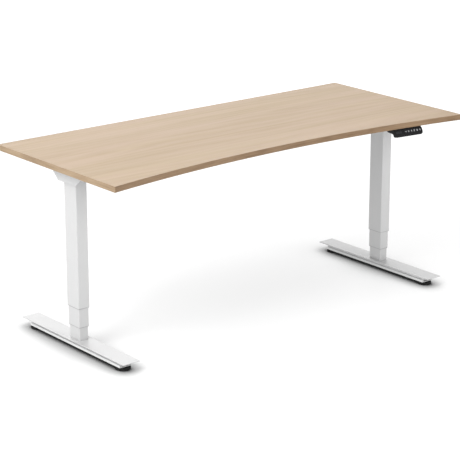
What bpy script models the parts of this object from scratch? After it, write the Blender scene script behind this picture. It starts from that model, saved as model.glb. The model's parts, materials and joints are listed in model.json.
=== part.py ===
"""Height adjustable standing desk with a curved front edge and two telescopic T-legs.

Metres, +Z up, +X to the user's right, +Y away from the user.  The origin is on the floor
under the centre of the desktop.  The columns stand 95 mm above their lowest position.
"""

import math

import bmesh
import bpy

# ---------------------------------------------------------------- driving dimensions
GAP = 0.0003                # clearance between pieces that touch
OVERSHOOT = 0.010           # how far a cutting shape runs past the piece it cuts

TOP_WIDTH = 1.800
TOP_DEPTH = 0.800
TOP_THICK = 0.023
TOP_HEIGHT = 0.760          # upper surface above the floor
FRONT_HOLLOW = 0.080        # how far the curved front edge cuts in at mid width
FRONT_STEPS = 36
BAND_THICK = 0.002
UNDERSIDE = TOP_HEIGHT - TOP_THICK

LEG_X = 0.808               # column centres, left and right of the middle
LEG_Y = -0.007
TUBE_WIDTH = 0.052          # outer tube, along X
TUBE_DEPTH = 0.080          # outer tube, along Y
TUBE_STEP = 0.006           # each inner tube is this much slimmer
TUBE_WALL = 0.0015
TUBE_CORNER = 0.0035
CORNER_STEP = 0.0006        # each inner tube's corners are this much sharper
CORNER_MIN = 0.001
OUTER_SPAN = (0.175, UNDERSIDE - 0.042)
MIDDLE_SPAN = (0.096, 0.639)
INNER_TOP = 0.563
GLIDE_LENGTH = 0.040

FOOT_LENGTH = 0.702
FOOT_WIDTH = 0.080
FOOT_TOP = 0.040
PLATE_THICK = 0.003
PLATE_CORNER = 0.0015
CHANNEL_INSET = 0.040       # from each end of the foot plate to the channel's end
CHANNEL_HALF = 0.021
CHANNEL_LIP = 0.007         # how far each bottom lip turns out
CHANNEL_LIP_RISE = 0.0105   # height of the lips' upturned edges
CHANNEL_STRIP = 0.009       # length of the strip that joins the lips at each end
CHANNEL_FLOOR = 0.0125
CHANNEL_WALL = 0.002
BASE_THICK = 0.008          # solid bottom of the inner tube, which takes the foot bolts
BOLT_RADIUS = 0.004
BOLT_HOLE = 0.0043
BOLT_OFFSET = 0.020
BOLT_HEAD_RADIUS = 0.0065
BOLT_HEAD_HEIGHT = 0.005
BOLT_HEAD_CHAMFER = 0.001

PAD_OFFSET = 0.293          # levelling feet, from the column's centre
PAD_RADIUS = 0.031
PAD_HEIGHT = 0.0115
PAD_CHAMFERS = (0.002, 0.003)       # bottom and top edges
STUD_TOP = 0.032
SLEEVE_RADIUS = 0.0075
SLEEVE_LOW = 0.0155
SLEEVE_SETBACK = 0.0005     # threaded sleeves stop this far below the channel's upper face

ARM_WIDTH = 0.080
ARM_WALL = 0.0025
ARM_HALF_LENGTH = 0.330
ARM_END_DEPTH = 0.012
ARM_SHOULDER_DEPTH = 0.022
ARM_MIDDLE_DEPTH = 0.057
ARM_MIDDLE_HALF = 0.060
ARM_SHOULDER_HALF = 0.097
ARM_TOP = UNDERSIDE - GAP
ARM_NOTCH_WIDTH = 0.027     # opening for the motor's neck
SCREW_OFFSETS = (-0.300, -0.170, 0.170, 0.300)
SCREW_HOLE = 0.003

RAIL_OFFSET = 0.075         # crossbar centres in front of and behind the columns
RAIL_WIDTH = 0.025
RAIL_HEIGHT = 0.035
RAIL_WALL = 0.002

GEARBOX_WIDTH = 0.058
GEARBOX_DEPTH = 0.086
GEARBOX_CORNER = 0.004
GEARBOX_SPAN = (OUTER_SPAN[1] + GAP, UNDERSIDE - 0.008)
LID_TOP = ARM_TOP - ARM_WALL - GAP
SHAFT_HEIGHT = UNDERSIDE - 0.030    # worm and motor axis above the floor
ARM_NOTCH_TOP = SHAFT_HEIGHT + 0.0135
WHEEL_TIP = 0.0178
WHEEL_ROOT = 0.0160
WHEEL_HALF = 0.007
WHEEL_TEETH = 24
TOOTH_ROOT = 0.32           # half widths of a tooth, as shares of the tooth pitch
TOOTH_TIP = 0.16
WHEEL_ROOM = 0.001          # clearance under the wheel and around the spindle
CHAMBER_ROOM = 0.002        # clearance around the wheel's teeth
TUNNEL_ROOM = 0.0012        # clearance around the worm
TUNNEL_SPAN = (-0.020, 0.040)
WORM_RADIUS = 0.006
WORM_OFFSET = WHEEL_TIP + WORM_RADIUS + 0.0004
WORM_SPAN = (-0.048, -0.012)        # along the shaft, from the gearbox's face
WORM_RIDGES = 5
WORM_GROOVE = 0.001
MOTOR_RADIUS = 0.026
MOTOR_END = 0.653           # far end of the motor, from the middle of the desk
MOTOR_CLEARANCE = 0.001     # between the side arm and the motor's body
MOTOR_CHAMFERS = (0.002, 0.004)     # front and rear edges of the casing
MOTOR_WALLS = (0.008, 0.003)        # front and rear walls of the casing
MOTOR_NECK_RADIUS = 0.012
MOTOR_BORE = 0.0045
MOTOR_ROOM = 0.019          # radius of the space for the armature
SHAFT_RADIUS = 0.0035
SHAFT_SETBACK = 0.006       # from the motor's rear end
ARMATURE_RADIUS = 0.017
ARMATURE_SETBACKS = (0.012, 0.014)  # from the body's front face and from its rear end
ARMATURE_CHAMFER = 0.002

SPINDLE_RADIUS = 0.005
SPINDLE_SPAN = (0.155, SHAFT_HEIGHT + 0.014)
HOLLOW_RADIUS = 0.009
HOLLOW_BORE = 0.0058
HOLLOW_SPAN = (0.105, 0.611)
MIDDLE_NUT_SPAN = (0.615, 0.637)
BASE_NUT_SPAN = (0.535, 0.561)

BOX_SPAN_X = (0.050, 0.310)
BOX_HALF_Y = 0.045
BOX_FLOOR = UNDERSIDE - 0.036
BOX_WALL = 0.0025
BOX_EAR = 0.015             # the base plate runs this far past each end of the cover
BOX_INSET = 0.002           # the cover's sides stand this far inside the base plate's
BASE_CORNER = 0.006
COVER_CORNER = 0.005
ROOM_CORNER = 0.003
PORT_OFFSETS = (-0.028, -0.008, 0.012)      # motor and handset sockets, in the left end
PORT_SIZE = 0.012
PORT_HEIGHT = 0.014
INLET_SIZE = (0.027, 0.016)         # mains inlet, in the right end
INLET_HEIGHT = 0.015

HANDSET_X = 0.628
HANDSET_WIDTH = 0.148
HANDSET_INSET = 0.001               # the housing's sides stand this far inside the panel's
HANDSET_EDGE = 0.002                # straight part of the face above its lower edge
HANDSET_TRIM = (0.100, 0.090)       # height and depth of the shape that rounds the housing
HANDSET_TILT = math.radians(60)     # face plane, from lying flat
HANDSET_LOW = (-0.0066, -0.0348)    # lower front edge: forward of the desk edge, below the top
HANDSET_LIP = ((-0.0006, -0.0352), (0.0045, -0.0343))
HANDSET_HOLLOW = (0.0160, -0.0318)  # centre of the finger hollow behind the face
FINGER_RADIUS = 0.0100
FINGER_STEPS = 6
HANDSET_TONGUE = ((0.030, -0.0215), (0.041, -0.0213), (0.055, -0.0172), (0.063, -0.0055),
                  (0.084, -0.0055))
PANEL_HEIGHT = 0.0378
PANEL_THICK = 0.002
PANEL_CORNER = 0.013
PANEL_START = 0.0008                # panel's lower edge, up the face
POCKET_DEPTH = 0.0026
POCKET_MARGIN = 0.003               # from each side of the handset to the board's pocket
POCKET_ROOM = 0.001                 # the pocket is this much higher than the display
BOARD_THICK = 0.0006
BUTTON_ROW = 0.0208                 # button centres, up the face from its lower edge
BUTTON_PITCH = 0.0145
BUTTON_FIRST = -0.0113
BUTTON_SIZE = (0.0105, 0.0125)
BUTTON_CORNER = 0.0022
BUTTON_CLEARANCE = 0.0004
BUTTON_SPAN = (-0.0030, 0.0008)     # below and above the panel's face
BUTTON_NAMES = ("down", "up", "memory_1", "memory_2", "memory_3", "store")
DISPLAY_SIZE = (0.044, 0.0155)
DISPLAY_X = -0.045
DISPLAY_CORNER = 0.001
DISPLAY_SETBACK = 0.0002            # display's faces, inside the panel's

SIDES = {"left": -1, "right": 1}

# name: (colour, roughness, metallic)
FINISHES = {
    "wood": ((0.66, 0.49, 0.33), 0.5, 0.0),
    "edging": ((0.52, 0.37, 0.23), 0.5, 0.0),
    "white_paint": ((0.86, 0.86, 0.86), 0.4, 0.0),
    "steel": ((0.56, 0.57, 0.58), 0.3, 1.0),
    "cast": ((0.60, 0.61, 0.62), 0.5, 1.0),
    "brass": ((0.72, 0.55, 0.25), 0.3, 1.0),
    "white_plastic": ((0.78, 0.78, 0.78), 0.5, 0.0),
    "black_plastic": ((0.02, 0.02, 0.02), 0.5, 0.0),
    "button_plastic": ((0.05, 0.05, 0.055), 0.4, 0.0),
    "display_glass": ((0.01, 0.01, 0.012), 0.1, 0.0),
    "board": ((0.05, 0.22, 0.10), 0.5, 0.0),
}


# ---------------------------------------------------------------- modelling helpers
def clear_scene():
    for obj in list(bpy.data.objects):
        bpy.data.objects.remove(obj)


def material(name, finish):
    colour, roughness, metallic = FINISHES[finish]
    made = bpy.data.materials.new(f"{name}_{finish}")
    made.use_nodes = True
    shader = made.node_tree.nodes["Principled BSDF"]
    shader.inputs["Base Color"].default_value = (*colour, 1.0)
    shader.inputs["Roughness"].default_value = roughness
    shader.inputs["Metallic"].default_value = metallic
    return made


def empty(name, location, turn=(0, 0, 0), parent=None):
    marker = bpy.data.objects.new(name, None)
    marker.location = location
    marker.rotation_euler = turn
    marker.parent = parent
    bpy.context.scene.collection.objects.link(marker)
    return marker


def add_object(name, shape, finish, location=(0, 0, 0), parent=None, smooth=False):
    """Turn a bmesh into a named object with its own material."""
    bmesh.ops.recalc_face_normals(shape, faces=shape.faces)
    mesh = bpy.data.meshes.new(name)
    shape.to_mesh(mesh)
    shape.free()
    if smooth:
        mesh.shade_smooth()
        mesh.set_sharp_from_angle(angle=math.radians(35))
    obj = bpy.data.objects.new(name, mesh)
    obj.location = location
    obj.parent = parent
    bpy.context.scene.collection.objects.link(obj)
    mesh.materials.append(material(name, finish))
    return obj


def combine(obj, shape, operation="DIFFERENCE"):
    """Cut a shape from an object, or join it on, in the object's own coordinates."""
    bmesh.ops.recalc_face_normals(shape, faces=shape.faces)
    mesh = bpy.data.meshes.new(f"{obj.name}_tool")
    shape.to_mesh(mesh)
    shape.free()
    tool = bpy.data.objects.new(mesh.name, mesh)
    tool.location = obj.location
    tool.parent = obj.parent
    tool.hide_render = True
    tool.display_type = "WIRE"
    bpy.context.scene.collection.objects.link(tool)
    modifier = obj.modifiers.new(operation.lower(), "BOOLEAN")
    modifier.object = tool
    modifier.operation = operation
    modifier.solver = "EXACT"


def circle(radius, count, centre=(0, 0)):
    angles = [2 * math.pi * step / count for step in range(count)]
    return [(centre[0] + radius * math.cos(a), centre[1] + radius * math.sin(a)) for a in angles]


def rectangle(width, depth, centre=(0, 0)):
    half_w, half_d = width / 2, depth / 2
    corners = [(-half_w, -half_d), (half_w, -half_d), (half_w, half_d), (-half_w, half_d)]
    return [(centre[0] + x, centre[1] + y) for x, y in corners]


def rounded(width, depth, radius, centre=(0, 0), steps=4):
    """Outline of a rectangle with round corners, anticlockwise."""
    points = []
    corners = ((1, 1, 0), (-1, 1, 90), (-1, -1, 180), (1, -1, 270))
    for sign_x, sign_y, start in corners:
        corner_x = centre[0] + sign_x * (width / 2 - radius)
        corner_y = centre[1] + sign_y * (depth / 2 - radius)
        for step in range(steps + 1):
            angle = math.radians(start + 90 * step / steps)
            points.append((corner_x + radius * math.cos(angle), corner_y + radius * math.sin(angle)))
    return points


def along(axis, u, v, w):
    """Map outline coordinates (u, v) and distance w along an axis to X, Y, Z."""
    return {"X": (w, u, v), "Y": (u, w, v), "Z": (u, v, w)}[axis]


def prism(outline, low, high, axis="Z", shape=None):
    """Closed solid with the outline as its section, added to a shape if one is given."""
    shape = shape or bmesh.new()
    rings = [[shape.verts.new(along(axis, u, v, w)) for u, v in outline] for w in (low, high)]
    for ring in rings:
        shape.faces.new(ring)
    for index in range(len(outline)):
        near = rings[0][index - 1], rings[0][index]
        far = rings[1][index], rings[1][index - 1]
        shape.faces.new(near + far)
    return shape


def sleeve(outside, inside, low, high):
    """Closed hollow section, open at both ends; both outlines have as many points."""
    shape = bmesh.new()
    loops = []
    for outline, level in ((outside, low), (outside, high), (inside, high), (inside, low)):
        loops.append([shape.verts.new((u, v, level)) for u, v in outline])
    for number, loop in enumerate(loops):
        following = loops[(number + 1) % len(loops)]
        for index in range(len(loop)):
            shape.faces.new((loop[index - 1], loop[index], following[index], following[index - 1]))
    return shape


def turned(profile, closed=False, count=32, axis="Z"):
    """Solid of revolution from (radius, height) points; an open profile ends on the axis."""
    shape = bmesh.new()
    verts = [shape.verts.new((radius, 0, height)) for radius, height in profile]
    edges = [shape.edges.new(pair) for pair in zip(verts, verts[1:])]
    if closed:
        edges.append(shape.edges.new((verts[-1], verts[0])))
    bmesh.ops.spin(shape, geom=verts + edges, cent=(0, 0, 0), axis=(0, 0, 1),
                   angle=2 * math.pi, steps=count, use_merge=True)
    bmesh.ops.remove_doubles(shape, verts=shape.verts, dist=0.000001)
    if axis == "X":
        for vert in shape.verts:
            vert.co = (vert.co.z, vert.co.x, vert.co.y)
    return shape


# ---------------------------------------------------------------- desktop
def front_edge(x):
    """Y of the front edge: one arc from corner to corner, hollow towards the user."""
    radius = ((TOP_WIDTH / 2) ** 2 + FRONT_HOLLOW ** 2) / (2 * FRONT_HOLLOW)
    centre_y = -TOP_DEPTH / 2 + FRONT_HOLLOW - radius
    return centre_y + math.sqrt(radius ** 2 - x ** 2)


def desktop_outline(inset):
    half_w = TOP_WIDTH / 2 - inset
    back = TOP_DEPTH / 2 - inset
    points = [(half_w, back), (-half_w, back)]
    for step in range(FRONT_STEPS + 1):
        x = -half_w + 2 * half_w * step / FRONT_STEPS
        points.append((x, front_edge(x) + inset))
    return points


def make_desktop():
    board = prism(desktop_outline(BAND_THICK + GAP), UNDERSIDE, TOP_HEIGHT)
    add_object("desktop_board", board, "wood")
    band = sleeve(desktop_outline(0), desktop_outline(BAND_THICK), UNDERSIDE, TOP_HEIGHT)
    add_object("desktop_edge_band", band, "edging")


# ---------------------------------------------------------------- telescopic columns
def tube_outline(stage, inset=0.0):
    """Section of stage 0 (outer), 1 (middle) or 2 (inner), shrunk by the inset."""
    width = TUBE_WIDTH - stage * TUBE_STEP - 2 * inset
    depth = TUBE_DEPTH - stage * TUBE_STEP - 2 * inset
    return rounded(width, depth, max(TUBE_CORNER - stage * CORNER_STEP - inset, CORNER_MIN))


def make_tubes(side, spot):
    for stage, name, span in ((0, "outer", OUTER_SPAN), (1, "middle", MIDDLE_SPAN)):
        wall = sleeve(tube_outline(stage), tube_outline(stage, TUBE_WALL), *span)
        add_object(f"{side}_{name}_tube", wall, "white_paint", spot)
        ring = sleeve(tube_outline(stage, TUBE_WALL + GAP), tube_outline(stage + 1, -GAP),
                      span[0], span[0] + GLIDE_LENGTH)
        add_object(f"{side}_{name}_glide", ring, "white_plastic", spot)

    bottom = FOOT_TOP + GAP
    inner = add_object(f"{side}_inner_tube", prism(tube_outline(2), bottom, INNER_TOP),
                       "white_paint", spot)
    hollow = prism(tube_outline(2, TUBE_WALL), bottom + BASE_THICK, INNER_TOP + OVERSHOOT)
    combine(inner, hollow)
    combine(inner, bolt_holes(bottom - OVERSHOOT, bottom + BASE_THICK + OVERSHOOT))


def make_nut(name, stage, bore, span, spot):
    block = prism(tube_outline(stage, TUBE_WALL + GAP), *span)
    nut = add_object(name, block, "white_plastic", spot)
    combine(nut, prism(circle(bore, 24), span[0] - OVERSHOOT, span[1] + OVERSHOOT))


def make_spindles(side, spot):
    chamfer = 0.001
    low, high = SPINDLE_SPAN
    rod = turned([(0, low), (SPINDLE_RADIUS - chamfer, low), (SPINDLE_RADIUS, low + chamfer),
                  (SPINDLE_RADIUS, high - chamfer), (SPINDLE_RADIUS - chamfer, high), (0, high)],
                 count=20)
    add_object(f"{side}_drive_spindle", rod, "steel", spot, smooth=True)

    low, high = HOLLOW_SPAN
    tube = turned([(HOLLOW_BORE, low), (HOLLOW_RADIUS, low), (HOLLOW_RADIUS, high),
                   (HOLLOW_BORE, high)], closed=True, count=24)
    add_object(f"{side}_hollow_spindle", tube, "steel", spot, smooth=True)

    make_nut(f"{side}_middle_nut", 1, SPINDLE_RADIUS + GAP, MIDDLE_NUT_SPAN, spot)
    make_nut(f"{side}_base_nut", 2, HOLLOW_RADIUS + GAP, BASE_NUT_SPAN, spot)


# ---------------------------------------------------------------- gearboxes and motors
def wheel_outline():
    points = []
    for tooth in range(WHEEL_TEETH):
        for share, radius in ((-TOOTH_ROOT, WHEEL_ROOT), (-TOOTH_TIP, WHEEL_TIP),
                              (TOOTH_TIP, WHEEL_TIP), (TOOTH_ROOT, WHEEL_ROOT)):
            angle = 2 * math.pi * (tooth + share) / WHEEL_TEETH
            points.append((radius * math.cos(angle), radius * math.sin(angle)))
    return points


def make_gearbox(side, spot, inward):
    """Housing on top of the column, with the worm wheel's chamber and the worm's tunnel."""
    low, high = GEARBOX_SPAN
    outline = rounded(GEARBOX_WIDTH, GEARBOX_DEPTH, GEARBOX_CORNER)
    housing = add_object(f"{side}_gearbox_housing", prism(outline, low, high), "cast", spot)
    chamber_floor = SHAFT_HEIGHT - WHEEL_HALF - WHEEL_ROOM
    combine(housing, prism(circle(WHEEL_TIP + CHAMBER_ROOM, 32), chamber_floor, high + OVERSHOOT))
    combine(housing, prism(circle(SPINDLE_RADIUS + WHEEL_ROOM, 20), low - OVERSHOOT, high))
    tunnel = circle(WORM_RADIUS + TUNNEL_ROOM, 20, (WORM_OFFSET, SHAFT_HEIGHT))
    combine(housing, prism(tunnel, inward * TUNNEL_SPAN[0], inward * TUNNEL_SPAN[1], axis="X"))

    add_object(f"{side}_gearbox_lid", prism(outline, high + GAP, LID_TOP), "cast", spot)

    wheel = add_object(f"{side}_worm_wheel",
                       prism(wheel_outline(), SHAFT_HEIGHT - WHEEL_HALF, SHAFT_HEIGHT + WHEEL_HALF),
                       "brass", spot)
    combine(wheel, prism(circle(SPINDLE_RADIUS + GAP, 20), low, high))


def make_motor(side, inward):
    """Geared motor lying along X beside the column head, with its worm shaft inside."""
    housing_face = LEG_X - GEARBOX_WIDTH / 2
    body_start = LEG_X - ARM_WIDTH / 2 - MOTOR_CLEARANCE
    centre = (-inward * housing_face, LEG_Y + WORM_OFFSET, SHAFT_HEIGHT)
    neck = housing_face - body_start
    end = housing_face - MOTOR_END
    front_chamfer, rear_chamfer = MOTOR_CHAMFERS
    room_start, room_end = neck + MOTOR_WALLS[0], end - MOTOR_WALLS[1]
    casing = [(0, end), (MOTOR_RADIUS - rear_chamfer, end), (MOTOR_RADIUS, end - rear_chamfer),
              (MOTOR_RADIUS, neck + front_chamfer), (MOTOR_RADIUS - front_chamfer, neck),
              (MOTOR_NECK_RADIUS, neck), (MOTOR_NECK_RADIUS, GAP), (MOTOR_BORE, GAP),
              (MOTOR_BORE, room_start), (MOTOR_ROOM, room_start), (MOTOR_ROOM, room_end),
              (0, room_end)]
    casing = [(radius, inward * length) for radius, length in casing]
    add_object(f"{side}_motor_casing", turned(casing, axis="X", count=28), "black_plastic", centre,
               smooth=True)

    worm_start, worm_end = WORM_SPAN
    groove = WORM_RADIUS - WORM_GROOVE
    outline = [(0, worm_start), (groove, worm_start)]
    pitch = (worm_end - worm_start) / WORM_RIDGES
    for ridge in range(WORM_RIDGES):
        start = worm_start + ridge * pitch
        outline += [(WORM_RADIUS, start + 0.35 * pitch), (WORM_RADIUS, start + 0.65 * pitch),
                    (groove, start + pitch)]
    front, rear = neck + ARMATURE_SETBACKS[0], end - ARMATURE_SETBACKS[1]
    tail = end - SHAFT_SETBACK
    outline += [(SHAFT_RADIUS, worm_end), (SHAFT_RADIUS, front),
                (ARMATURE_RADIUS, front + ARMATURE_CHAMFER),
                (ARMATURE_RADIUS, rear - ARMATURE_CHAMFER),
                (SHAFT_RADIUS, rear), (SHAFT_RADIUS, tail), (0, tail)]
    outline = [(radius, inward * length) for radius, length in outline]
    add_object(f"{side}_worm_shaft", turned(outline, axis="X", count=14), "steel", centre,
               smooth=True)


# ---------------------------------------------------------------- feet
def bolt_holes(low, high):
    holes = bmesh.new()
    for offset in (-BOLT_OFFSET, BOLT_OFFSET):
        prism(circle(BOLT_HOLE, 16, (0, offset)), low, high, shape=holes)
    return holes


def make_channel(side, spot, top):
    """Open channel under the foot plate; its bottom lips turn out and up, and join at the ends."""
    web = CHANNEL_HALF - CHANNEL_WALL
    lip = CHANNEL_HALF + CHANNEL_LIP
    lip_top = CHANNEL_FLOOR + CHANNEL_WALL
    lip_high = CHANNEL_FLOOR + CHANNEL_LIP_RISE
    right_half = [(CHANNEL_HALF, top), (CHANNEL_HALF, lip_top), (lip - CHANNEL_WALL, lip_top),
                  (lip - CHANNEL_WALL, lip_high), (lip, lip_high), (lip, CHANNEL_FLOOR)]
    section = right_half + [(-u, v) for u, v in reversed(right_half)]
    reach = FOOT_LENGTH / 2 - CHANNEL_INSET
    channel = add_object(f"{side}_foot_channel", prism(section, -reach, reach, axis="Y"),
                         "white_paint", spot)

    room_height = top - CHANNEL_WALL - lip_top
    room = rectangle(2 * web, room_height, (0, lip_top + room_height / 2))
    combine(channel, prism(room, -reach - OVERSHOOT, reach + OVERSHOOT, axis="Y"))
    mouth = rectangle(2 * web, 2 * (reach - CHANNEL_STRIP))
    combine(channel, prism(mouth, CHANNEL_FLOOR - OVERSHOOT, lip_top + room_height / 2))

    sleeves, threads = bmesh.new(), bmesh.new()
    for offset in (-PAD_OFFSET, PAD_OFFSET):
        prism(circle(SLEEVE_RADIUS, 20, (0, offset)), SLEEVE_LOW, top - SLEEVE_SETBACK, shape=sleeves)
        prism(circle(BOLT_HOLE, 16, (0, offset)), 0, top + OVERSHOOT, shape=threads)
    combine(channel, sleeves, "UNION")
    combine(channel, threads)
    combine(channel, bolt_holes(top - OVERSHOOT, top + OVERSHOOT))


def make_foot(side, spot):
    plate_low = FOOT_TOP - PLATE_THICK
    plate = add_object(f"{side}_foot_plate",
                       prism(rounded(FOOT_WIDTH, FOOT_LENGTH, PLATE_CORNER, steps=2), plate_low,
                             FOOT_TOP), "white_paint", spot)
    combine(plate, bolt_holes(plate_low - OVERSHOOT, FOOT_TOP + OVERSHOOT))

    top = plate_low - GAP
    make_channel(side, spot, top)

    head_top = top - CHANNEL_WALL - GAP
    head_low = head_top - BOLT_HEAD_HEIGHT
    bolt_end = FOOT_TOP + BASE_THICK
    for end, offset in (("front", -BOLT_OFFSET), ("rear", BOLT_OFFSET)):
        bolt = turned([(0, head_low), (BOLT_HEAD_RADIUS - BOLT_HEAD_CHAMFER, head_low),
                       (BOLT_HEAD_RADIUS, head_low + BOLT_HEAD_CHAMFER),
                       (BOLT_HEAD_RADIUS, head_top), (BOLT_RADIUS, head_top),
                       (BOLT_RADIUS, bolt_end), (0, bolt_end)], count=16)
        place = (spot[0], spot[1] + offset, 0)
        add_object(f"{side}_foot_bolt_{end}", bolt, "steel", place, smooth=True)

    bottom_chamfer, top_chamfer = PAD_CHAMFERS
    for end, offset in (("front", -PAD_OFFSET), ("rear", PAD_OFFSET)):
        pad = turned([(0, 0), (PAD_RADIUS - bottom_chamfer, 0), (PAD_RADIUS, bottom_chamfer),
                      (PAD_RADIUS, PAD_HEIGHT - top_chamfer), (PAD_RADIUS - top_chamfer, PAD_HEIGHT),
                      (BOLT_RADIUS, PAD_HEIGHT), (BOLT_RADIUS, STUD_TOP), (0, STUD_TOP)], count=28)
        place = (spot[0], spot[1] + offset, 0)
        add_object(f"{side}_{end}_levelling_foot", pad, "black_plastic", place, smooth=True)


# ---------------------------------------------------------------- frame under the top
def make_side_arm(side, spot, inward):
    """U-section arm under the top, deepest where it holds the column head."""
    top = ARM_TOP
    right_half = [(ARM_HALF_LENGTH, top), (ARM_HALF_LENGTH, top - ARM_END_DEPTH),
                  (ARM_SHOULDER_HALF, top - ARM_SHOULDER_DEPTH),
                  (ARM_MIDDLE_HALF, top - ARM_MIDDLE_DEPTH)]
    outline = right_half + [(-u, v) for u, v in reversed(right_half)]
    half = ARM_WIDTH / 2
    arm = add_object(f"{side}_side_arm", prism(outline, -half, half, axis="X"),
                     "white_paint", spot)
    inside = half - ARM_WALL
    depth = 2 * ARM_MIDDLE_DEPTH
    room = rectangle(2 * (ARM_HALF_LENGTH + OVERSHOOT), depth, (0, top - ARM_WALL - depth / 2))
    combine(arm, prism(room, -inside, inside, axis="X"))
    notch = rectangle(ARM_NOTCH_WIDTH, depth, (WORM_OFFSET, ARM_NOTCH_TOP - depth / 2))
    combine(arm, prism(notch, inward * (inside - ARM_WALL), inward * (half + ARM_WALL), axis="X"))
    screws = bmesh.new()
    for offset in SCREW_OFFSETS:
        prism(circle(SCREW_HOLE, 12, (0, offset)), top - OVERSHOOT, top + OVERSHOOT, shape=screws)
    combine(arm, screws)


def make_crossbars():
    outside = rectangle(RAIL_WIDTH, RAIL_HEIGHT)
    inside = rectangle(RAIL_WIDTH - 2 * RAIL_WALL, RAIL_HEIGHT - 2 * RAIL_WALL)
    reach = LEG_X - ARM_WIDTH / 2 - GAP
    for name, offset in (("front", -RAIL_OFFSET), ("rear", RAIL_OFFSET)):
        rail = sleeve(outside, inside, -reach, reach)
        for vert in rail.verts:
            vert.co = (vert.co.z, vert.co.x, vert.co.y)
        place = (0, LEG_Y + offset, ARM_TOP - RAIL_HEIGHT / 2)
        add_object(f"{name}_crossbar", rail, "white_paint", place)


def make_control_box():
    """Power and control unit: a tray with sockets in its ends, hung from a base plate."""
    start, end = BOX_SPAN_X
    middle = ((start + end) / 2, 0)
    length = end - start
    base = rounded(length + 2 * BOX_EAR, 2 * BOX_HALF_Y, BASE_CORNER, middle, steps=3)
    add_object("control_box_base", prism(base, ARM_TOP - BOX_WALL, ARM_TOP), "black_plastic",
               (0, LEG_Y, 0))

    rim = ARM_TOP - BOX_WALL - GAP
    depth = 2 * (BOX_HALF_Y - BOX_INSET)
    outline = rounded(length, depth, COVER_CORNER, middle, steps=3)
    cover = add_object("control_box_cover", prism(outline, BOX_FLOOR, rim), "black_plastic",
                       (0, LEG_Y, 0))
    room = rounded(length - 2 * BOX_WALL, depth - 2 * BOX_WALL, ROOM_CORNER, middle, steps=3)
    combine(cover, prism(room, BOX_FLOOR + BOX_WALL, rim + OVERSHOOT))
    sockets = bmesh.new()
    for offset in PORT_OFFSETS:
        prism(rectangle(PORT_SIZE, PORT_SIZE, (offset, BOX_FLOOR + PORT_HEIGHT)),
              start - OVERSHOOT, start + OVERSHOOT, axis="X", shape=sockets)
    prism(rectangle(*INLET_SIZE, (0, BOX_FLOOR + INLET_HEIGHT)), end - OVERSHOOT, end + OVERSHOOT,
          axis="X", shape=sockets)
    combine(cover, sockets)


# ---------------------------------------------------------------- handset
def handset_profile():
    """Side profile of the housing: a tilted front, a hollow behind it and a thin tongue."""
    up = (math.cos(HANDSET_TILT), math.sin(HANDSET_TILT))
    setback = PANEL_THICK + GAP
    start = (HANDSET_LOW[0] + setback * up[1], HANDSET_LOW[1] - setback * up[0])
    rise = -GAP - start[1]
    top_front = (start[0] + rise * up[0] / up[1], -GAP)
    low_front = (start[0] + HANDSET_EDGE * up[0], start[1] + HANDSET_EDGE * up[1])
    hollow = []
    for step in range(FINGER_STEPS + 1):
        angle = math.radians(180 - 90 * step / FINGER_STEPS)
        hollow.append((HANDSET_HOLLOW[0] + FINGER_RADIUS * math.cos(angle),
                       HANDSET_HOLLOW[1] + FINGER_RADIUS * math.sin(angle)))
    end = (HANDSET_TONGUE[-1][0], -GAP)
    return [top_front, low_front, *HANDSET_LIP, *hollow, *HANDSET_TONGUE, end]


def button_places():
    return [(BUTTON_FIRST + number * BUTTON_PITCH, BUTTON_ROW)
            for number in range(len(BUTTON_NAMES))]


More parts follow.
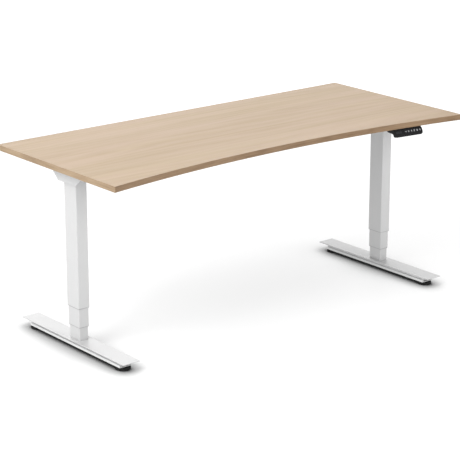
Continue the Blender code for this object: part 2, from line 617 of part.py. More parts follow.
def make_handset():
    run = 0.001
    turn = math.atan2(front_edge(HANDSET_X + run) - front_edge(HANDSET_X - run), 2 * run)
    place = empty("handset_place", (HANDSET_X, front_edge(HANDSET_X), UNDERSIDE), (0, 0, turn))
    face = empty("handset_face", (0, *HANDSET_LOW), (HANDSET_TILT, 0, 0), place)

    half = HANDSET_WIDTH / 2 - HANDSET_INSET
    housing = add_object("handset_housing", prism(handset_profile(), -half, half, axis="X"),
                         "black_plastic", parent=place)
    trim_height, trim_depth = HANDSET_TRIM
    outline = rounded(2 * half, trim_height, PANEL_CORNER, (0, GAP + trim_height / 2))
    trim = prism(outline, -trim_depth, OVERSHOOT)
    trim.transform(face.matrix_basis)
    combine(housing, trim, "INTERSECT")
    pocket_floor = -(PANEL_THICK + GAP + POCKET_DEPTH)
    pocket_size = (HANDSET_WIDTH - 2 * POCKET_MARGIN, DISPLAY_SIZE[1] + POCKET_ROOM)
    pocket = prism(rectangle(*pocket_size, (0, BUTTON_ROW)), pocket_floor, OVERSHOOT)
    pocket.transform(face.matrix_basis)
    combine(housing, pocket)

    panel_centre = (0, PANEL_START + PANEL_HEIGHT / 2)
    outline = rounded(HANDSET_WIDTH, PANEL_HEIGHT, PANEL_CORNER, panel_centre)
    panel = add_object("handset_panel", prism(outline, -PANEL_THICK, 0), "black_plastic",
                       parent=face)
    windows = bmesh.new()
    width, height = (size + 2 * BUTTON_CLEARANCE for size in BUTTON_SIZE)
    for spot in button_places():
        opening = rounded(width, height, BUTTON_CORNER + BUTTON_CLEARANCE, spot, 3)
        prism(opening, -OVERSHOOT, OVERSHOOT, shape=windows)
    width, height = (size + 2 * GAP for size in DISPLAY_SIZE)
    opening = rounded(width, height, DISPLAY_CORNER + GAP, (DISPLAY_X, BUTTON_ROW), 2)
    prism(opening, -OVERSHOOT, OVERSHOOT, shape=windows)
    combine(panel, windows)

    lens = rounded(*DISPLAY_SIZE, DISPLAY_CORNER, (DISPLAY_X, BUTTON_ROW), 2)
    add_object("handset_display", prism(lens, -PANEL_THICK + DISPLAY_SETBACK, -DISPLAY_SETBACK),
               "display_glass", parent=face)
    board = rectangle(*(size - 2 * GAP for size in pocket_size), (0, BUTTON_ROW))
    board_low = pocket_floor + GAP
    add_object("handset_circuit_board", prism(board, board_low, board_low + BOARD_THICK), "board",
               parent=face)

    for name, (x, y) in zip(BUTTON_NAMES, button_places()):
        cap = rounded(*BUTTON_SIZE, BUTTON_CORNER, steps=3)
        add_object(f"handset_button_{name}", prism(cap, *BUTTON_SPAN), "button_plastic", (x, y, 0),
                   face)


# ---------------------------------------------------------------- the desk
def main():
    clear_scene()
    make_desktop()
    make_crossbars()
    for side, sign in SIDES.items():
        spot = (sign * LEG_X, LEG_Y, 0)
        make_tubes(side, spot)
        make_spindles(side, spot)
        make_gearbox(side, spot, -sign)
        make_motor(side, -sign)
        make_foot(side, spot)
        make_side_arm(side, spot, -sign)
    make_control_box()
    make_handset()


main()
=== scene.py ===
"""Looks of the height adjustable standing desk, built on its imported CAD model.

Metres and radians.  Places come from the frame's boxes; only the sizes of the added details,
the lights and the camera are given here.  The CAD nodes keep their shape and get rounded edges
and procedural materials.
"""

import json
import math

import bmesh
import bpy
from mathutils import Matrix, Vector


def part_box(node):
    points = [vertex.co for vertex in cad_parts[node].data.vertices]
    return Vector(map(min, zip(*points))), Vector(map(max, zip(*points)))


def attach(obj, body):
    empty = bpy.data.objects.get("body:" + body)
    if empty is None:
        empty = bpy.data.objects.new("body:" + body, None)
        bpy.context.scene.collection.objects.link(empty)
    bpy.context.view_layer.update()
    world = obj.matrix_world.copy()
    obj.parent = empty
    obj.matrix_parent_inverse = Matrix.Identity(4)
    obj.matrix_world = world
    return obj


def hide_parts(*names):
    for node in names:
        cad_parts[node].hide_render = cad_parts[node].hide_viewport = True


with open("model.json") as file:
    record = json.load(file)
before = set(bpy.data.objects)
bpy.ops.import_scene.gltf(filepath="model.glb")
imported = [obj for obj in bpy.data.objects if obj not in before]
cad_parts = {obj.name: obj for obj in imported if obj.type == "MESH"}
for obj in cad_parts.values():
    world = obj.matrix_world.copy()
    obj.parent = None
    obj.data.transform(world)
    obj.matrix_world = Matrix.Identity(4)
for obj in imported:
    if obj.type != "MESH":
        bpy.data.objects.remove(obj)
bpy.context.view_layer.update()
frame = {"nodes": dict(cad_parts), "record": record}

SIDES = {"left": -1, "right": 1}
ENDS = ("front", "rear")
UP = Vector((0, 0, 1))
DOWN = Vector((0, 0, -1))

# ---------------------------------------------------------------- rounding of every piece
SMOOTH_ANGLE = math.radians(32)
ROUNDING_STEPS = 2
FACE_WEIGHT = 60
WELD_DISTANCE = 0.00001
SOFT_EDGE = 0.0004              # rounding of small mouldings
HAIRLINE = 0.0001               # gap between pieces that touch

# slot: edge rounding of its CAD nodes
ROUNDING = {
    "desktop_wood": 0.0003,
    "desktop_edging": 0.0006,
    "white_paint": 0.0006,
    "spindle_steel": 0.0003,
    "cast_metal": 0.0008,
    "gear_brass": 0.0002,
    "white_plastic": 0.0003,
    "black_plastic": 0.0007,
    "foot_rubber": 0.0005,
    "button_plastic": 0.0003,
    "display_glass": 0.0001,
    "circuit_board": 0.0001,
}

# ---------------------------------------------------------------- sizes of the added details
HANDSET_TILT = math.radians(60)         # of the handset's face, from level
MARK_SIZE = 0.0060                      # symbols printed on the keys
MARK_STROKE = 0.0011
INK_HEIGHT = 0.0001
FIGURE_HEIGHT = 0.0092                  # figures on the display
FIGURE_PITCH = 0.0098
FIGURE_STROKE = 0.0008
FIGURE_RISE = 0.00005
FIGURE_SHIFT = 0.002                    # to the left of the display's middle
HANDSET_SCREW_SPREAD = 0.045
HANDSET_SCREW_SETBACK = 0.0715          # behind the panel's middle
HANDSET_TONGUE_DROP = 0.0053            # from the housing's top to under its tongue

PAD_HEIGHT = 0.0115                     # levelling foot, without its threaded stud
PAD_RIM = (                             # distance in from the widest part, height
    (0.0050, 0.0004), (0.0042, 0), (0.0022, 0), (0.0004, 0.0012), (0, 0.0028), (0, 0.0084),
    (0.0010, 0.0098), (0.0034, 0.0105),
)
PAD_HUB = ((0.0125, 0.0108), (0.0112, PAD_HEIGHT), (0.0050, PAD_HEIGHT), (0, PAD_HEIGHT))
GRIP_LOBES = 14
GRIP_DEPTH = 0.0011
GRIP_REACH = 0.0035                     # how far in from the widest part the lobes go
JAM_NUT_RADIUS = 0.0080
JAM_NUT_HEIGHT = 0.0024
STUD_RADIUS = 0.0039
STUD_TAPER = 0.0008                     # at the tip
THREAD_PITCH = 0.00125
THREAD_DEPTH = 0.0006
THREAD_SINK = 0.0002                    # of the first turn, in the jam nut

MOTOR_NECK = 0.0117                     # thin part that plugs into the gearbox
MOTOR_NECK_RADIUS = 0.0118
MOTOR_FLANGE = 0.0040
MOTOR_FLANGE_CHAMFER = (0.0015, 0.0010)     # across and along the motor
MOTOR_STEP = 0.0008                     # slopes between the body and its two ends
MOTOR_BODY_RADIUS = 0.0248
MOTOR_GROOVES = 5
MOTOR_GROOVE_DEPTH = 0.0008
MOTOR_GROOVE_HALVES = (0.0012, 0.0006)      # half widths at the mouth and the bottom
MOTOR_CAP = 0.0240                      # rear cap's length
MOTOR_CAP_ROUND = 0.0050
MOTOR_CAP_STEPS = 4
MOTOR_CAP_RING = ((0.0150, 0), (0.0142, 0.0010), (0.0092, 0.0010), (0.0084, 0))  # radius, depth
MOTOR_ROOM = 0.0190                     # radius of the space for the armature
MOTOR_WALLS = (0.008, 0.003)            # front and rear
SHAFT_BORE = 0.0045
CAP_SCREW_CIRCLE = 0.0195
CAP_SCREW_COUNT = 3
CAP_SCREW_SINK = 0.0004
SOCKET_SETBACK = 0.012                  # lead socket, from the motor's rear end
SOCKET_SINK = 0.0012
SOCKET_BLOCK = (0.0180, 0.0130, 0.0020)     # width, height and corner radius
SOCKET_RIM = (0.0140, 0.0090, 0.0012)
SOCKET_TOPS = (0.0050, 0.0062)          # of the block and of the rim

RING_SETBACK = 0.0005                   # of a wiper ring's outside, from the tube's
RING_CLEARANCE = 0.0002                 # around the next tube
RING_CORNERS = (0.0031, 0.0021)         # outside and inside
RING_CORNER_STEPS = 6
RING_HEIGHT = 0.0024

ARM_WALL = 0.0025
ARM_SCREW_OFFSETS = (-0.300, -0.170, 0.170, 0.300)
RAIL_BOLT_SPREAD = 0.0095

LOUVRE_COUNT = 9
LOUVRE_PITCH = 0.0095
LOUVRE_BAR = (0.0036, 0.046, 0.0017)    # width, length and corner radius
LOUVRE_SHIFT = 0.045                    # to the right of the cover's middle
LOUVRE_SPAN = (-0.0011, 0.0002)         # from the cover's underside
BOX_SCREW_INSET = 0.0065
BOX_SCREW_SPREAD = 0.028
LEAD_PORTS = (-0.028, -0.008, 0.012)    # sockets in the control box's left end
LEAD_PIN_OFFSETS = (-0.003, 0.0, 0.003)
LEAD_PIN_PLACE = (0.0006, 0.0140)       # in from the end, up from the underside
LEAD_PIN = (0.0010, 0.0050, 0.0003)     # width, height and corner radius
LEAD_PIN_LENGTH = 0.0030
MAINS_PIN_PLACES = ((-0.007, 0.0125), (0.007, 0.0125), (0.0, 0.0170))   # across, up
MAINS_PIN_SETBACK = 0.0040
MAINS_PIN = (0.0020, 0.0044, 0.0006)
MAINS_PIN_LENGTH = 0.0036
PIN_CORNER_STEPS = 2

# radius and height of each kind of screw head
HANDSET_SCREW = (0.0042, 0.0026)
CAP_SCREW = (0.0022, 0.0014)
ARM_SCREW = (0.0052, 0.0030)
BOX_SCREW = (0.0040, 0.0026)
RAIL_BOLT = (0.0050, 0.0045)

# points round each kind of turned piece
SCREW_SIDES = 24
BOLT_SIDES = 32
STUD_SIDES = 28
MOTOR_SIDES = 72
LOBE_SIDES = 8                          # for each lobe of a foot's grip
DOME_STEPS = 5                          # from a screw head's recess to its rim

# ---------------------------------------------------------------- linear colours
WOOD_DEEP = (0.363, 0.263, 0.162)
WOOD_MIDDLE = (0.421, 0.318, 0.212)
WOOD_PALE = (0.476, 0.371, 0.251)
WOOD_PORE = (0.324, 0.240, 0.156)
WOOD_BLUSH = (0.474, 0.352, 0.266)
BACKING_DEEP = (0.070, 0.070, 0.072)    # plain sheet on the desktop's underside
BACKING_PALE = (0.095, 0.095, 0.097)
BAND_DEEP = (0.163, 0.096, 0.048)
BAND_MIDDLE = (0.239, 0.151, 0.083)
BAND_PALE = (0.300, 0.201, 0.117)
BAND_END_PAINTED_LIGHT = (1.28, 1.39, 1.51)      # painted light: the strips on the two ends are made paler than the front and rear strips
BAND_END_LIGHT_REACH = (0.8978, 0.8982)       # where they start, from the middle of the desk
PAINT_SHADE = (0.555, 0.555, 0.555)
PAINT = (0.570, 0.570, 0.570)
PAINT_EDGE = (0.603, 0.603, 0.603)
PAINT_SCUFF = (0.477, 0.477, 0.473)
LIT_CHANNEL_DEEP = (0.775, 0.775, 0.775)   # painted light: a brighter copy of the white paint, for the feet's channels
LIT_CHANNEL_PAINT = (0.800, 0.800, 0.800)
LIT_CHANNEL_EDGE = (0.840, 0.840, 0.840)
ACETAL_DEEP = (0.70, 0.70, 0.68)
ACETAL_PALE = (0.80, 0.80, 0.78)
CAST_DEEP = (0.36, 0.37, 0.38)
CAST_PALE = (0.60, 0.61, 0.62)
CAST_EDGE = (0.74, 0.75, 0.76)
GLASS_DEEP = (0.004, 0.004, 0.005)
GLASS_PALE = (0.009, 0.009, 0.011)
MASK_DEEP = (0.012, 0.085, 0.032)
MASK_PALE = (0.02, 0.13, 0.05)
MASK_TRACK = (0.06, 0.28, 0.12)
WHITE = (1, 1, 1)
BLACK = (0, 0, 0)

# ---------------------------------------------------------------- studio and camera
FLOOR_HALF = 40.0
FLOOR_HEIGHT = -0.0002                  # just clear of the feet
FLOOR_DIM = (0.98, 0.98, 0.98)
FLOOR_SHADE = (0.02, 0.02, 0.02)
FLOOR_GLOW = (0.48, 1.0)                # under the desk and far away
FLOOR_GLOW_REACH = (3.0, 8.0)
CONTACT_DISTANCE = 0.22                 # of what darkens the floor by standing above it
CONTACT_LIMITS = (0.36, 0.93)           # openness that counts as closed and as open
CONTACT_CURVE = (                       # openness, light
    (0.0, 0.01), (0.12, 0.42), (0.24, 0.49), (0.50, 0.60), (0.75, 0.75), (1.0, 1.0),
)
SKY_STRENGTH = 0.54
LIGHTS = {                              # place, aim, width and height, power
    "overhead": ((-0.3, 0.2, 4.2), (0, 0, 0), (5.0, 4.0), 35),
    "left_key": ((-4.0, -0.6, 3.8), (0, 0, 0.5), (2.5, 2.5), 120),
    "left_low": ((-5.0, -1.2, 1.9), (-0.4, 0, 0.3), (2.2, 1.6), 46),
    "front_fill": ((1.4, -4.6, 2.6), (0, 0, 0.3), (2.5, 2.5), 90),
    "back_panel": ((2.5, 4.8, 3.0), (0, 0, 0.2), (5.5, 2.4), 153),
}
CAMERA_SPOT = (-4.5718, -5.6065, 2.5516)
CAMERA_PITCH = math.radians(17.096)
CAMERA_YAW = math.radians(38.96)
CAMERA_LENS = 142.17
CAMERA_SENSOR = 36.0
CAMERA_REACH = 100.0

# ---------------------------------------------------------------- node material helpers


class Surface:
    """A material under construction, with short calls for its shader nodes."""

    def __init__(self, name, metallic=0.0):
        self.material = bpy.data.materials.new(name)
        self.material.use_nodes = True
        self.tree = self.material.node_tree
        self.shader = self.tree.nodes["Principled BSDF"]
        self.shader.inputs["Metallic"].default_value = metallic
        spots = self.add("TexCoord")
        self.place = spots.outputs["Object"]
        self.facing = spots.outputs["Normal"]

    def add(self, kind, settings=None, **inputs):
        """New node of a kind; _ stands for a space in an input's name, and _0 is the first."""
        made = self.tree.nodes.new(f"ShaderNode{kind}")
        for key, value in (settings or {}).items():
            setattr(made, key, value)
        for key, value in inputs.items():
            by_number = key[1:].isdigit()
            self.set(made.inputs[int(key[1:]) if by_number else key.replace("_", " ")], value)
        return made

    def set(self, socket, value):
        if isinstance(value, bpy.types.NodeSocket):
            self.tree.links.new(value, socket)
        else:
            socket.default_value = value

    def scaled(self, scale):
        """Object coordinates, stretched by a scale for each axis."""
        return self.add("Mapping", Vector=self.place, Scale=scale).outputs["Vector"]

    def noise(self, scale, stretch=(1, 1, 1), detail=3.0, roughness=0.5, distortion=0.0):
        made = self.add("TexNoise", Vector=self.scaled(stretch), Scale=scale, Detail=detail,
                        Roughness=roughness, Distortion=distortion)
        return made.outputs["Fac"]

    def math(self, operation, a, b=0.0):
        return self.add("Math", {"operation": operation}, _0=a, _1=b).outputs[0]

    def remap(self, value, low, high, to_low=0.0, to_high=1.0):
        made = self.add("MapRange", Value=value, From_Min=low, From_Max=high, To_Min=to_low,
                        To_Max=to_high)
        return made.outputs["Result"]

    def mix(self, factor, *colours):
        """Blend of two colours, which are sockets or red, green and blue."""
        made = self.add("Mix", {"data_type": "RGBA"}, Factor=factor)
        for socket, colour in zip(made.inputs[6:8], colours):
            linked = isinstance(colour, bpy.types.NodeSocket)
            self.set(socket, colour if linked else (*colour, 1.0))
        return made.outputs[2]

    def ramp(self, value, *stops):
        """Colour ramp through (position, colour) stops."""
        made = self.add("ValToRGB", Fac=value)
        elements = made.color_ramp.elements
        while len(elements) < len(stops):
            elements.new(0.5)
        for element, (position, colour) in zip(elements, stops):
            element.position = position
            element.color = (*colour, 1.0)
        return made.outputs["Color"]

    def bump(self, height, strength, distance, onto=None):
        made = self.add("Bump", Height=height, Strength=strength, Distance=distance)
        if onto is not None:
            self.set(made.inputs["Normal"], onto)
        return made.outputs["Normal"]

    def edges(self):
        """Mask of the rounded outer edges, where handling wears the finish."""
        return self.remap(self.add("NewGeometry").outputs["Pointiness"], 0.51, 0.58)

    def finish(self, colour, roughness, normal=None):
        self.set(self.shader.inputs["Base Color"], colour)
        self.set(self.shader.inputs["Roughness"], roughness)
        if normal is not None:
            self.set(self.shader.inputs["Normal"], normal)
        return self.material


# ---------------------------------------------------------------- materials


def wood_laminate():
    """Pale oak decor over a grey backing: drifting tones, long rings, fine fibres and pores."""
    s = Surface("pale_oak_laminate")
    s.shader.inputs["Specular IOR Level"].default_value = 0.05
    drift = s.noise(1.8, (0.30, 3.2, 1), detail=2.0)
    warp = s.noise(2.2, (0.22, 1.8, 1), detail=3.0, roughness=0.45, distortion=0.2)
    across = s.add("SeparateXYZ", Vector=s.place).outputs["Y"]
    rings = s.math("ADD", s.math("MULTIPLY", across, 26.0), s.math("MULTIPLY", warp, 9.0))
    ring_tone = s.remap(s.math("PINGPONG", rings, 0.5), 0.0, 0.5)
    streaks = s.noise(15.0, (0.11, 5.0, 1), detail=6.0, roughness=0.62)
    fibres = s.noise(60.0, (0.045, 9.0, 1), detail=3.0, roughness=0.6)
    pores = s.noise(140.0, (0.040, 3.6, 1), detail=2.0)
    pore_mask = s.remap(pores, 0.62, 0.74)

    tone = s.math("ADD", s.math("MULTIPLY", ring_tone, 0.12), s.math("MULTIPLY", streaks, 0.56))
    tone = s.math("ADD", tone, s.math("MULTIPLY", drift, 0.30))
    colour = s.ramp(tone, (0.32, WOOD_DEEP), (0.48, WOOD_MIDDLE), (0.64, WOOD_PALE))
    blush = s.noise(4.0, (0.25, 3.0, 1), detail=3.0, roughness=0.6)
    colour = s.mix(s.remap(blush, 0.38, 0.64, 0.0, 0.60), colour, WOOD_BLUSH)
    colour = s.mix(s.remap(fibres, 0.35, 0.70, 0.0, 0.16), colour, WOOD_DEEP)
    colour = s.mix(s.math("MULTIPLY", pore_mask, 0.30), colour, WOOD_PORE)
    facing = s.add("SeparateXYZ", Vector=s.facing).outputs["Z"]
    paper = s.ramp(s.noise(90.0, detail=4.0, roughness=0.6), (0.35, BACKING_DEEP), (0.65, BACKING_PALE))
    colour = s.mix(s.math("LESS_THAN", facing, -0.5), colour, paper)
    rough = s.math("ADD", s.remap(streaks, 0.3, 0.7, 0.40, 0.52), s.math("MULTIPLY", pore_mask, 0.12))
    relief = s.math("SUBTRACT", s.math("MULTIPLY", fibres, 0.4), pore_mask)
    return s.finish(colour, rough, s.bump(relief, 0.25, 0.00012))


def edge_band():
    """Oak-pattern band: layered streaks along the edge, a little deeper than the top, with painted light
    that makes the end strips paler.
    """
    s = Surface("oak_edge_band")
    s.shader.inputs["Specular IOR Level"].default_value = 0.35
    streaks = s.noise(9.0, (1, 1, 17), detail=4.0, roughness=0.6)
    fibres = s.noise(26.0, (1, 1, 36), detail=2.0)
    patches = s.noise(5.0, detail=2.0)
    tone = s.math("ADD", s.math("MULTIPLY", streaks, 0.6), s.math("MULTIPLY", patches, 0.4))
    colour = s.ramp(tone, (0.36, BAND_DEEP), (0.50, BAND_MIDDLE), (0.64, BAND_PALE))
    colour = s.mix(s.remap(fibres, 0.45, 0.75, 0.0, 0.25), colour, BAND_DEEP)
    colour = s.mix(s.math("MULTIPLY", s.edges(), 0.25), colour, BAND_PALE)
    # painted light: the strips on the desk's two ends are tinted paler
    sideways = s.add("SeparateXYZ", Vector=s.place).outputs["X"]
    painted_end_light_mask = s.remap(s.math("ABSOLUTE", sideways), *BAND_END_LIGHT_REACH)
    painted_end_tint = s.mix(painted_end_light_mask, WHITE, BAND_END_PAINTED_LIGHT)
    colour = s.add("VectorMath", {"operation": "MULTIPLY"}, _0=colour, _1=painted_end_tint).outputs["Vector"]
    rough = s.remap(streaks, 0.3, 0.7, 0.38, 0.52)
    return s.finish(colour, rough, s.bump(fibres, 0.2, 0.0001))


def powder_coat(name, shade, paint, edge):
    """White textured powder coat: fine orange peel, faint handling marks, bright edges."""
    s = Surface(name)
    peel = s.noise(900.0, detail=2.0)
    ripple = s.noise(160.0, detail=2.0)
    clouds = s.noise(7.0, detail=3.0)
    scuffs = s.remap(s.noise(30.0, (1, 1, 0.15), detail=5.0, roughness=0.7), 0.62, 0.74)
    colour = s.ramp(clouds, (0.32, shade), (0.62, paint))
    colour = s.mix(s.math("MULTIPLY", scuffs, 0.10), colour, PAINT_SCUFF)
    colour = s.mix(s.math("MULTIPLY", s.edges(), 0.35), colour, edge)
    rough = s.math("ADD", s.remap(clouds, 0.3, 0.7, 0.38, 0.46), s.math("MULTIPLY", scuffs, 0.14))
    normal = s.bump(ripple, 0.05, 0.0002)
    return s.finish(colour, rough, s.bump(peel, 0.12, 0.00006, onto=normal))


def moulded(name, dark, light, rough=(0.42, 0.58), grain=1100.0, depth=0.00008, wear=0.3):
    """Moulded plastic or rubber with a spark-eroded grain and rubbed edges."""
    s = Surface(name)
    s.shader.inputs["Specular IOR Level"].default_value = 0.14
    cells = s.add("TexVoronoi", Vector=s.place, Scale=grain).outputs["Distance"]
    speckle = s.noise(grain * 0.6, detail=2.0)
    clouds = s.noise(38.0, detail=4.0, roughness=0.6)
    rubbed = [2.2 * channel + 0.01 for channel in light]
    colour = s.mix(s.remap(clouds, 0.3, 0.75), dark, light)
    colour = s.mix(s.math("MULTIPLY", s.edges(), wear), colour, rubbed)
    roughness = s.remap(clouds, 0.3, 0.7, *rough)
    height = s.math("ADD", s.math("MULTIPLY", cells, 0.5), s.math("MULTIPLY", speckle, 0.5))
    return s.finish(colour, roughness, s.bump(height, 0.35, depth))


def white_acetal():
    """White moulded acetal with faint flow lines."""
    s = Surface("white_acetal")
    clouds = s.noise(60.0, detail=3.0)
    flow = s.noise(25.0, (1, 1, 9), detail=4.0)
    colour = s.mix(s.remap(clouds, 0.3, 0.7), ACETAL_DEEP, ACETAL_PALE)
    return s.finish(colour, s.remap(flow, 0.3, 0.7, 0.34, 0.5), s.bump(flow, 0.15, 0.0001))


def machined(name, dark, light, stretch):
    """Turned or rolled metal: fine tool lines, oil stains and polished edges."""
    s = Surface(name, metallic=1.0)
    lines = s.noise(160.0, stretch, detail=4.0, roughness=0.65)
    stains = s.noise(45.0, detail=4.0, roughness=0.6)
    stained = [0.5 * channel for channel in dark]
    polished = [min(1.0, 1.25 * channel) for channel in light]
    colour = s.mix(s.remap(lines, 0.3, 0.7), dark, light)
    colour = s.mix(s.remap(stains, 0.52, 0.75, 0.0, 0.35), colour, stained)
    colour = s.mix(s.math("MULTIPLY", s.edges(), 0.5), colour, polished)
    roughness = s.math("ADD", s.remap(lines, 0.3, 0.7, 0.24, 0.42), s.remap(stains, 0.5, 0.8, 0.0, 0.12))
    return s.finish(colour, roughness, s.bump(lines, 0.2, 0.00006))


def cast_metal():
    """Die-cast zinc: mottled skin with a sandy relief."""
    s = Surface("die_cast_metal", metallic=1.0)
    skin = s.noise(70.0, detail=5.0, roughness=0.65)
    sand = s.noise(700.0, detail=2.0)
    colour = s.ramp(skin, (0.32, CAST_DEEP), (0.66, CAST_PALE))
    colour = s.mix(s.math("MULTIPLY", s.edges(), 0.5), colour, CAST_EDGE)
    return s.finish(colour, s.remap(skin, 0.3, 0.7, 0.42, 0.6), s.bump(sand, 0.35, 0.0001))


def display_glass():
    """Smoked window: gloss broken by faint smears, with a tint that drifts slightly."""
    s = Surface("smoked_display_window")
    s.shader.inputs["Specular IOR Level"].default_value = 0.25
    s.shader.inputs["Coat Weight"].default_value = 0.15
    smear = s.noise(60.0, (1, 0.4, 1), detail=5.0, roughness=0.7, distortion=0.6)
    colour = s.mix(s.remap(smear, 0.3, 0.7), GLASS_DEEP, GLASS_PALE)
    return s.finish(colour, s.remap(smear, 0.4, 0.75, 0.06, 0.20), s.bump(smear, 0.02, 0.00005))


def circuit_board():
    """Green solder mask over a faint pattern of tracks."""
    s = Surface("green_solder_mask")
    tracks = s.add("TexBrick", Vector=s.scaled((260.0, 260.0, 260.0)), Mortar_Size=0.06).outputs["Fac"]
    clouds = s.noise(90.0, detail=3.0)
    colour = s.mix(s.remap(clouds, 0.3, 0.7), MASK_DEEP, MASK_PALE)
    colour = s.mix(s.math("MULTIPLY", tracks, 0.6), colour, MASK_TRACK)
    return s.finish(colour, s.remap(clouds, 0.3, 0.7, 0.28, 0.42), s.bump(tracks, 0.2, 0.00005))


def printed_ink(name, colour):
    """Pad-printed ink, thinner in places."""
    s = Surface(name)
    wear = s.noise(900.0, detail=4.0, roughness=0.7)
    thin = [0.75 * channel for channel in colour]
    mixed = s.mix(s.remap(wear, 0.4, 0.7), colour, thin)
    return s.finish(mixed, s.remap(wear, 0.3, 0.7, 0.42, 0.6), s.bump(wear, 0.1, 0.00002))


def studio_floor():
    """Lit and glowing white sweep, with painted shade only where something stands close above it."""
    s = Surface("studio_floor")
    s.shader.inputs["Specular IOR Level"].default_value = 0.0
    openness = s.add("AmbientOcclusion", {"samples": 12}, Distance=CONTACT_DISTANCE).outputs["AO"]
    curve = [(position, (light, light, light)) for position, light in CONTACT_CURVE]
    shade = s.ramp(s.remap(openness, *CONTACT_LIMITS), *curve)
    clouds = s.noise(1.5, detail=2.0)
    shaded = s.mix(shade, FLOOR_SHADE, s.mix(clouds, FLOOR_DIM, WHITE))
    away = s.add("VectorMath", {"operation": "LENGTH"}, _0=s.place).outputs["Value"]
    s.set(s.shader.inputs["Emission Color"], shaded)
    s.set(s.shader.inputs["Emission Strength"], s.remap(away, *FLOOR_GLOW_REACH, *FLOOR_GLOW))
    return s.finish(s.mix(0.46, shaded, BLACK), s.remap(clouds, 0.3, 0.7, 0.75, 0.85))


FINISHES = {
    "desktop_wood": wood_laminate(),
    "desktop_edging": edge_band(),
    "white_paint": powder_coat("white_powder_coat", PAINT_SHADE, PAINT, PAINT_EDGE),
    "spindle_steel": machined("oiled_steel", (0.40, 0.41, 0.42), (0.62, 0.63, 0.64), (1, 1, 8)),
    "cast_metal": cast_metal(),
    "gear_brass": machined("gear_bronze", (0.50, 0.34, 0.13), (0.74, 0.56, 0.26), (1, 1, 6)),
    "white_plastic": white_acetal(),
    "black_plastic": moulded("black_moulding", (0.005, 0.005, 0.0055), (0.009, 0.009, 0.0095)),
    "foot_rubber": moulded("black_rubber", (0.008, 0.008, 0.008), (0.016, 0.016, 0.016),
                           rough=(0.68, 0.86), grain=500.0, depth=0.0002, wear=0.5),
    "button_plastic": moulded("key_cap_plastic", (0.020, 0.020, 0.022), (0.030, 0.030, 0.033),
                              rough=(0.34, 0.46), grain=1600.0, depth=0.00004),
    "display_glass": display_glass(),
    "circuit_board": circuit_board(),
}
# painted light: the feet's channels get a lit, brighter copy of the white powder coat
LIT_CHANNEL_FINISH = powder_coat("painted_light_powder_coat", LIT_CHANNEL_DEEP, LIT_CHANNEL_PAINT, LIT_CHANNEL_EDGE)
INK = printed_ink("grey_print", (0.80, 0.81, 0.82))
WIPER = moulded("grey_wiper", (0.33, 0.33, 0.335), (0.42, 0.42, 0.425), grain=700.0, wear=0.1)
DIM_SEGMENT = printed_ink("unlit_segment", (0.030, 0.031, 0.034))


# ---------------------------------------------------------------- mesh helpers


def circle(radius, count, start=0.0):
    angles = [start + 2 * math.pi * step / count for step in range(count)]
    return [(radius * math.cos(angle), radius * math.sin(angle)) for angle in angles]


def rounded(width, depth, radius, centre=(0.0, 0.0), steps=4):
    """Outline of a rectangle with round corners."""
    points = []
    for sign_x, sign_y, start in ((1, 1, 0), (-1, 1, 90), (-1, -1, 180), (1, -1, 270)):
        corner = (centre[0] + sign_x * (width / 2 - radius), centre[1] + sign_y * (depth / 2 - radius))
        for step in range(steps + 1):
            angle = math.radians(start + 90 * step / steps)
            points.append((corner[0] + radius * math.cos(angle), corner[1] + radius * math.sin(angle)))
    return points


def prism(outline, low, high, shape, place=None):
    """Closed solid over an outline in X and Y, moved by a matrix if one is given."""
    place = place or Matrix.Identity(4)
    rings = [[shape.verts.new(place @ Vector((x, y, z))) for x, y in outline] for z in (low, high)]
    for ring in rings:
        shape.faces.new(ring)
    for index in range(len(outline)):
        near = rings[0][index - 1], rings[0][index]
        far = rings[1][index], rings[1][index - 1]
        shape.faces.new(near + far)


def lathe(profile, count, closed=False, shape=None, place=None, lobes=0, lobe_depth=0.0,
          lobe_from=1.0):
    """Solid of revolution about Z; points beyond lobe_from are scalloped by the lobes."""
    shape = shape or bmesh.new()
    place = place or Matrix.Identity(4)
    rings = []
    for radius, height in profile:
        if radius == 0:
            rings.append([shape.verts.new(place @ Vector((0, 0, height)))])
            continue
        ring = []
        for step in range(count):
            angle = 2 * math.pi * step / count
            dip = lobe_depth * (1 - math.cos(lobes * angle)) / 2 if radius >= lobe_from else 0.0
            reach = radius - dip
            spot = Vector((reach * math.cos(angle), reach * math.sin(angle), height))
            ring.append(shape.verts.new(place @ spot))
        rings.append(ring)
    pairs = list(zip(rings, rings[1:])) + ([(rings[-1], rings[0])] if closed else [])
    for low, high in pairs:
        if len(low) == 1 and len(high) == 1:
            continue
        for index in range(count):
            around = (low[index - 1], low[index]) if len(low) > 1 else (low[0],)
            back = (high[index], high[index - 1]) if len(high) > 1 else (high[0],)
            shape.faces.new(around + back)
    return shape


def along_axis(spot, direction):
    """Matrix that puts the local Z axis along a direction at a spot."""
    turn = Vector(direction).to_track_quat("Z", "Y").to_matrix().to_4x4()
    return Matrix.Translation(spot) @ turn


def pan_head(shape, spot, direction, size):
    """Domed screw head with a round recess and a cross on the recess's floor."""
    radius, height = size
    place = along_axis(spot, direction)
    recess = 0.38 * radius
    mouth = 1.12 * recess
    crown = 0.96 * height
    profile = [(0, 0.45 * height), (recess, 0.5 * height), (mouth, crown)]
    for step in range(1, DOME_STEPS + 1):
        angle = math.radians(90 * step / DOME_STEPS)
        reach = mouth + (radius - mouth) * math.sin(angle)
        profile.append((reach, crown * (0.25 + 0.75 * math.cos(angle))))
    profile += [(radius, 0), (0, 0)]
    lathe(profile, SCREW_SIDES, shape=shape, place=place)
    arm = rounded(1.7 * recess, 0.30 * recess, 0.1 * recess, steps=2)
    for turn in (0, 90):
        across = Matrix.Rotation(math.radians(turn), 4, "Z")
        prism(arm, 0.2 * height, 0.52 * height, shape, place @ across)


